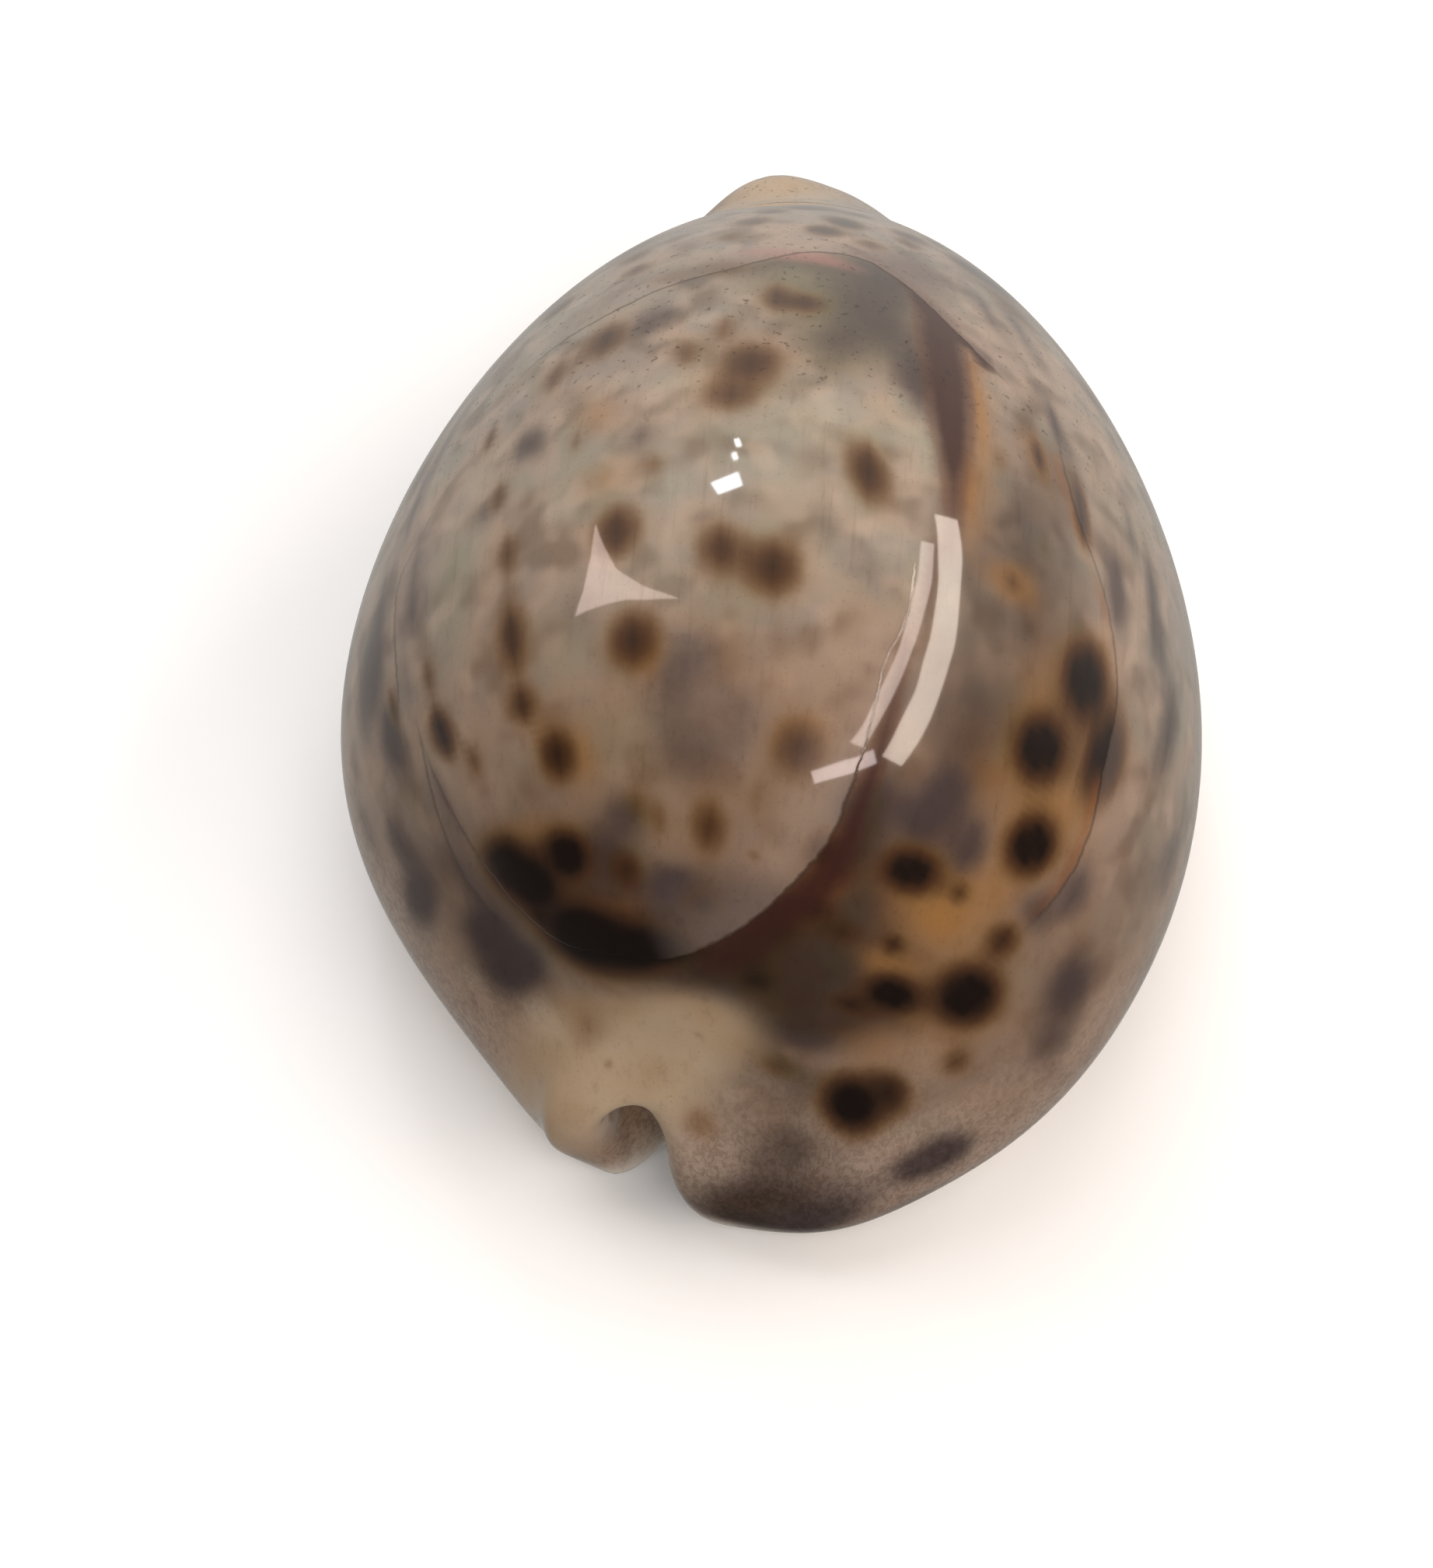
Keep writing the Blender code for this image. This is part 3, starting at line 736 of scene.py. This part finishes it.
class Paint:
    """A shader tree that is built up by laying one colour over another."""

    def __init__(self, material):
        material.use_nodes = True
        self.tree = material.node_tree
        self.surface = self.tree.nodes["Principled BSDF"]
        self.place = self.made("ShaderNodeTexCoord", "Object", {})

    def made(self, kind, output, inputs, **settings):
        """What a new node of this kind gives for these inputs."""
        node = self.tree.nodes.new(kind)
        for name, setting in settings.items():
            setattr(node, name, setting)
        for name, given in inputs.items():
            self.put(node.inputs[name], given)
        return Field(self.tree, node.outputs[output])

    def put(self, socket, value):
        if isinstance(value, Field):
            self.tree.links.new(value.socket, socket)
        else:
            socket.default_value = value

    def set_surface(self, **values):
        """Sets the surface's own inputs, by their names with underscores for spaces."""
        for name, value in values.items():
            self.put(self.surface.inputs[name.replace("_", " ")], value)

    def noise(self, size, detail=3.0, roughness=0.5, stretch=(1, 1, 1), distortion=0.0):
        """Cloudy noise from 0 to 1 with features about this size in millimetres."""
        grain = self.made("ShaderNodeMapping", "Vector", {"Vector": self.place, "Scale": stretch})
        inputs = {
            "Vector": grain,
            "Scale": 1.0 / (size * MM),
            "Detail": detail,
            "Roughness": roughness,
            "Distortion": distortion,
        }
        return self.made("ShaderNodeTexNoise", "Fac", inputs)

    def step(self, value, low, high, to_low=0.0, to_high=1.0):
        """A smooth step: to_low where the value is under low, to_high where it is over high."""
        ends = {"From Min": low, "From Max": high, "To Min": to_low, "To Max": to_high}
        inputs = {"Value": value, **ends}
        return self.made("ShaderNodeMapRange", "Result", inputs, interpolation_type="SMOOTHSTEP")

    def pigment(self, name, blur=0.0, ragged=None):
        """A stored layer of pigment, its outline made ragged by some noise."""
        stored = self.made("ShaderNodeAttribute", "Fac", {}, attribute_name=name)
        return stored if ragged is None else stored + (ragged - 0.5) * blur

    def over(self, below, tint, amount, mode="MIX"):
        """This colour laid over what is below it, by this amount."""
        inputs = {"Factor": amount, "A": below, "B": tint}
        return self.made("ShaderNodeMix", "Result", inputs, data_type="RGBA", blend_type=mode)

    def stain(self, below, tint, pigment, low, high, amount, mode="MIX"):
        """This colour laid on where the pigment is over low, and by the whole amount over high."""
        return self.over(below, tint, self.step(pigment, low, high, 0.0, amount), mode)

    def bump(self, height, distance, strength=1.0, below=None):
        inputs = {"Height": height, "Distance": distance * MM, "Strength": strength}
        if below is not None:
            inputs["Normal"] = below
        return self.made("ShaderNodeBump", "Normal", inputs)


def colour(*display_values):
    """A colour from its red, green and blue display values, 0 to 255."""
    light = [
        ((value / 255 + 0.055) / 1.055) ** 2.4 if value > 10 else value / 3294
        for value in display_values
    ]
    return (*light, 1.0)


GROUND_BEIGE = colour(152, 131, 112)
GROUND_GREY = colour(134, 126, 110)
GROUND_PINK = colour(150, 130, 114)
GROUND_BLUE = colour(126, 118, 110)
GROUND_SHADE = colour(98, 80, 64)
GROUND_PALE = colour(176, 156, 138)
MARGIN = colour(164, 145, 130)
PALE_GREEN = colour(150, 146, 128)
WARM = colour(138, 96, 46)
REAR_SHADE = colour(108, 78, 54)
BROWN_SHADE = colour(44, 26, 18)
GREEN_SHADE = colour(106, 98, 74)
DEEP_SPOT = colour(58, 46, 46)
SPOT_HALO = colour(108, 78, 42)
SPOT_BROWN = colour(66, 39, 18)
SPOT_CORE = colour(16, 7, 6)
BAND_EDGE = colour(84, 48, 28)
BAND = colour(52, 24, 17)
CALLUS = colour(166, 144, 116)
CALLUS_OLIVE = colour(158, 132, 100)
CALLUS_PALE = colour(182, 162, 136)
FINE_MARKS = colour(168, 146, 130)
SPECKS = colour(150, 134, 120)
TAN = colour(120, 88, 58)
PINK = colour(150, 102, 94)
VEIL = colour(140, 122, 112)
FLAP_LINE = colour(58, 40, 30)
RIM = colour(124, 76, 36)
VEILS = {  # how thick the coat is at its edge, and how warm the rim beyond it
    "rear flap": (0.0, 0.0),
    "back flap": (0.38, 0.0),
    "side flap": (0.12, 0.0),
    "low flap": (0.15, 0.0),
    "far flap": (0.45, 0.0),
    "outer flap": (0.25, 0.7),
}
BASE_WHITE = colour(228, 219, 206)
BASE_CREAM = colour(212, 194, 170)
INSIDE_WHITE = colour(214, 204, 200)
INSIDE_VIOLET = colour(188, 176, 186)
WANDER = 10 * MM  # how far the borders of the broad zones wander
MARGIN_HEIGHTS = (8 * MM, 22 * MM)
REAR_REACH = (-30 * MM, -6 * MM)
SPECKED_REACH = (-6 * MM, 6 * MM)
BASE_HEIGHTS = (0.2 * MM, 4.0 * MM)
GLAZE_GLOSS = 0.05


def glazed_back(material):
    paint = Paint(material)
    _, y, z = paint.place.parts()
    cloud = paint.noise(8.0, 1.0)
    drift = paint.noise(4.5, 0.8, stretch=(1.0, 0.7, 1.0))
    mottle = paint.noise(2.2, 0.5)
    ragged = paint.noise(0.9, 4.0, 0.6)
    wander = (drift - 0.5) * WANDER
    margin = paint.step(z + wander, *MARGIN_HEIGHTS, 1.0, 0.0)

    below = GROUND_BEIGE
    for tint, clouds, low, high, amount in (
        (GROUND_GREY, cloud, 0.38, 0.62, 1.0),
        (GROUND_PINK, drift, 0.45, 0.68, 0.8),
        (GROUND_BLUE, paint.noise(5.0, 1.5), 0.45, 0.68, 0.6),
        (GROUND_SHADE, paint.noise(3.2, 0.8), 0.45, 0.75, 0.7),
        (GROUND_PALE, mottle, 0.50, 0.78, 0.4),
    ):
        below = paint.stain(below, tint, clouds, low, high, amount)
    below = paint.over(below, MARGIN, margin * 0.75)
    below = paint.over(below, PALE_GREEN, paint.pigment("pale patches", 0.25, drift) * 0.9)
    rear = paint.step(y + wander, *REAR_REACH, 1.0, 0.0) * (0.65 - margin * 0.5)
    below = paint.over(below, REAR_SHADE, rear, "DARKEN")
    green = paint.pigment("green shades", 0.4, drift)
    below = paint.stain(below, GREEN_SHADE, green, 0.05, 0.9, 0.85)
    brown = paint.pigment("brown shades", 0.5, drift)
    below = paint.stain(below, BROWN_SHADE, brown, 0.1, 0.95, 0.9, "DARKEN")
    below = paint.over(below, WARM, paint.pigment("warm patches", 0.15, mottle) * 0.9)

    blue = paint.pigment("blue spots", 0.12, ragged)
    below = paint.stain(below, DEEP_SPOT, blue, 0.03, 0.75, 0.92, "DARKEN")
    dark = paint.pigment("dark spots", 0.06, ragged)
    below = paint.stain(below, SPOT_HALO, dark, 0.0, 0.46, 0.75, "DARKEN")
    below = paint.stain(below, SPOT_BROWN, dark, 0.14, 0.66, 0.92, "DARKEN")
    below = paint.stain(below, SPOT_CORE, dark, 0.48, 1.06, 0.97)
    covered = paint.step(paint.pigment("back flap"), -0.1, 0.1, 0.0, 0.9)
    covered = covered * paint.step(paint.pigment("back flap strength"), 0.3, 0.7)
    mantle = paint.pigment("mantle line", 0.14, ragged) * (1.0 - covered)
    below = paint.stain(below, BAND_EDGE, mantle, 0.02, 0.3, 0.6, "DARKEN")
    below = paint.stain(below, BAND, mantle, 0.12, 0.7, 0.95)
    callus = paint.pigment("callus", 0.2, drift)
    callus_tint = paint.stain(CALLUS, CALLUS_OLIVE, drift, 0.35, 0.65, 1.0)
    callus_tint = paint.stain(callus_tint, CALLUS_PALE, cloud, 0.40, 0.70, 0.5)
    below = paint.stain(below, callus_tint, callus, 0.05, 1.1, 0.9)
    # Tan marks, and painted shade on the inner wall of the rear notch.
    tan = paint.pigment("tan patches and notch shade", 0.3, drift)
    below = paint.stain(below, TAN, tan, 0.05, 0.9, 0.8, "DARKEN")
    pink = paint.pigment("pink streak", 0.3, ragged)
    below = paint.stain(below, PINK, pink, 0.1, 0.9, 0.6)

    ridges = 0.0
    for name, (veil, rim) in VEILS.items():
        side = paint.pigment(name, 0.45, ragged)
        strength = paint.pigment(name + " strength")
        inside = paint.step(side, -0.08, 0.08)
        veiled = inside * paint.step(side, 0.5, FLAP_REACH, veil, 0.0)
        below = paint.over(below, VEIL, veiled * strength)
        beyond = paint.step(side, -1.6, -0.5) * paint.step(side, -0.3, 0.0, rim, 0.0)
        below = paint.over(below, RIM, beyond * paint.step(drift, 0.35, 0.6) * strength)
        edge = paint.step(side.work("ABSOLUTE", side), 0.03, 0.25, 0.75, 0.0)
        below = paint.over(below, FLAP_LINE, edge * strength, "DARKEN")
        ridges = ridges + inside * strength

    hairs = paint.noise(0.37, 3.0, 0.6, stretch=(1.0, 0.4, 0.7), distortion=0.8)
    hairs = paint.step(hairs, 0.40, 0.62, 0.0, 0.48) * margin
    hairs = hairs * paint.step(callus, 0.1, 0.7, 1.0, 0.1)
    below = paint.over(below, FINE_MARKS, hairs, "MULTIPLY")
    streaks = paint.noise(0.7, 4.0, 0.7, stretch=(1.0, 0.07, 0.5))
    below = paint.stain(below, FINE_MARKS, streaks, 0.50, 0.80, 0.3, "MULTIPLY")
    grain = paint.noise(0.22, 3.0, 0.7)
    below = paint.stain(below, FINE_MARKS, grain, 0.58, 0.78, 0.5, "MULTIPLY")
    specks = paint.step(paint.noise(0.55, 2.0, 0.7), 0.61, 0.70, 0.0, 0.75)
    below = paint.over(below, SPECKS, specks * paint.step(y, *SPECKED_REACH), "MULTIPLY")

    bare = paint.stain(BASE_WHITE, BASE_CREAM, cloud, 0.35, 0.7, 1.0)
    below = paint.over(below, bare, paint.step(z, *BASE_HEIGHTS, 1.0, 0.0))
    swell = paint.bump(paint.noise(7.0, 1.0), 0.12, 0.5)
    swell = paint.bump(ridges, 0.04, 0.6, below=swell)
    fine = paint.bump(paint.noise(0.8, 3.0), 0.01, 0.4, below=swell)
    paint.set_surface(Base_Color=below, Roughness=0.42, Specular_IOR_Level=0.2, Normal=fine)
    paint.set_surface(Coat_Weight=1.0, Coat_Roughness=GLAZE_GLOSS, Coat_IOR=1.5, Coat_Normal=swell)


def inside_wall(material):
    paint = Paint(material)
    tint = paint.stain(INSIDE_WHITE, INSIDE_VIOLET, paint.noise(6.0, 3.0), 0.4, 0.65, 1.0)
    paint.set_surface(Base_Color=tint, Roughness=0.35)


glazed_back(shell_mesh.materials[0])
shell_mesh.materials.append(bpy.data.materials.new("inside wall"))
inside_wall(shell_mesh.materials[1])
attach(shell, "root")
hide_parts("cowrie_shell")

# --- The studio ------------------------------------------------------------------------------
# A pale floor under a pale sky, which is brighter beyond the shell's front end. Two strips, a patch
# and two windows show in the glaze; the floor and the two broad fill lamps don't.
AIM = Vector((0.0, -0.001, 0.0175))
CAMERA_AZIMUTH = -0.79
CAMERA_ELEVATION = 58.0
CAMERA_ROLL = 5.84
CAMERA_DISTANCE = 0.3648
CAMERA_LENS = 120.66
CAMERA_SHIFT = (-0.0414, -0.1006)
FLOOR_LEVEL = -0.05 * MM
FLOOR_REACH = 3.0
FLOOR_WHITE = (0.86, 0.86, 0.86, 1.0)
SIDE_WINDOW_AT = (-105, 42)  # azimuth and elevation
SIDE_WINDOW_TINT = (1.0, 0.80, 0.72, 1.0)
SIDE_WINDOW = (  # metres across and up: three long corners with hollow sides between them
    (-0.32, -0.24), (-0.15, -0.20), (0.0, -0.20), (0.12, -0.23), (0.09, -0.10),
    (0.05, 0.06), (0.04, 0.34), (-0.02, 0.12), (-0.09, -0.03), (-0.19, -0.13),
)
SKY_TINT = (1.0, 0.96, 0.90, 1.0)
SKY_NEAR, SKY_FAR = 0.04, 0.58  # how bright the sky is behind the camera and beyond the shell


def facing(azimuth, elevation, distance, aim, roll=0.0):
    """A placing that looks at the aim from this direction and distance."""
    a, e, r = (math.radians(one) for one in (azimuth, elevation, roll))
    back = Vector((math.sin(a) * math.cos(e), -math.cos(a) * math.cos(e), math.sin(e)))
    right = Vector((math.cos(a), math.sin(a), 0.0))
    up = back.cross(right)
    right, up = math.cos(r) * right + math.sin(r) * up, math.cos(r) * up - math.sin(r) * right
    return Matrix.Translation(aim + distance * back) @ Matrix((right, up, back)).transposed().to_4x4()


camera = bpy.data.objects.new("camera", bpy.data.cameras.new("camera"))
camera.matrix_world = facing(CAMERA_AZIMUTH, CAMERA_ELEVATION, CAMERA_DISTANCE, AIM, CAMERA_ROLL)
camera.data.sensor_fit = "VERTICAL"
camera.data.sensor_height = 36.0
camera.data.lens = CAMERA_LENS
camera.data.shift_x, camera.data.shift_y = CAMERA_SHIFT
camera.data.clip_start = 0.01
bpy.context.scene.collection.objects.link(camera)
bpy.context.scene.camera = camera

floor_mesh = bpy.data.meshes.new("floor")
corners = [
    (x * FLOOR_REACH, y * FLOOR_REACH, FLOOR_LEVEL) for x, y in ((-1, -1), (1, -1), (1, 1), (-1, 1))
]
floor_mesh.from_pydata(corners, [], [(0, 1, 2, 3)])
floor = bpy.data.objects.new("floor", floor_mesh)
floor_paint = Paint(bpy.data.materials.new("pale floor"))
floor_paint.set_surface(Base_Color=FLOOR_WHITE, Roughness=0.9)
floor_mesh.materials.append(bpy.data.materials["pale floor"])
bpy.context.scene.collection.objects.link(floor)
floor.visible_glossy = False


def lamp(name, azimuth, elevation, width, height, watts, tint=(1, 1, 1), distance=1.0):
    light = bpy.data.lights.new(name, "AREA")
    light.shape = "RECTANGLE"
    light.size, light.size_y = width, height
    light.energy = watts
    light.color = tint
    lit = bpy.data.objects.new(name, light)
    lit.matrix_world = facing(azimuth, elevation, distance, AIM)
    bpy.context.scene.collection.objects.link(lit)
    return lit


lamp("long strip", 90, 44.5, 1.5, 0.13, 6.2, (1.0, 0.87, 0.76))
lamp("thin strip", 84, 54, 1.3, 0.07, 2.2, (1.0, 0.85, 0.78))
lamp("corner patch", 30, 38, 0.26, 0.07, 0.55, (1.0, 0.84, 0.82))
lamp("window", -157, 47, 0.11, 0.07, 0.5, (0.88, 0.95, 1.0))
lamp("window top", -164, 38, 0.02, 0.04, 0.06)
lamp("window pane", -162, 41, 0.02, 0.03, 0.04)
for name, azimuth, elevation, watts in (("rear fill", -160, 58, 12.5), ("near fill", 0, 45, 9.5)):
    lamp(name, azimuth, elevation, 1.4, 1.4, watts, distance=1.3).visible_glossy = False

side_window_mesh = bpy.data.meshes.new("side window")
placing = facing(*SIDE_WINDOW_AT, 1.0, AIM)
corners = [placing @ Vector((across, up, 0.0)) for across, up in SIDE_WINDOW]
side_window_mesh.from_pydata(corners, [], [range(len(corners))])
side_window = bpy.data.objects.new("side window", side_window_mesh)
glowing = Paint(bpy.data.materials.new("side window"))
glowing.set_surface(Emission_Color=SIDE_WINDOW_TINT, Emission_Strength=6.0)
side_window_mesh.materials.append(bpy.data.materials["side window"])
bpy.context.scene.collection.objects.link(side_window)
side_window.visible_camera = False
side_window.visible_shadow = False

sky = bpy.data.worlds.new("studio sky")
sky.use_nodes = True
sky_nodes, sky_links = sky.node_tree.nodes, sky.node_tree.links
sky_nodes["Background"].inputs["Color"].default_value = SKY_TINT
direction = sky_nodes.new("ShaderNodeTexCoord")
apart = sky_nodes.new("ShaderNodeSeparateXYZ")
glow = sky_nodes.new("ShaderNodeMapRange")
glow.inputs["From Min"].default_value = -0.3
glow.inputs["To Min"].default_value = SKY_NEAR
glow.inputs["To Max"].default_value = SKY_FAR
sky_links.new(direction.outputs["Generated"], apart.inputs[0])
sky_links.new(apart.outputs["Y"], glow.inputs["Value"])
sky_links.new(glow.outputs["Result"], sky_nodes["Background"].inputs["Strength"])
bpy.context.scene.world = sky
bpy.context.scene.view_settings.view_transform = "Standard"
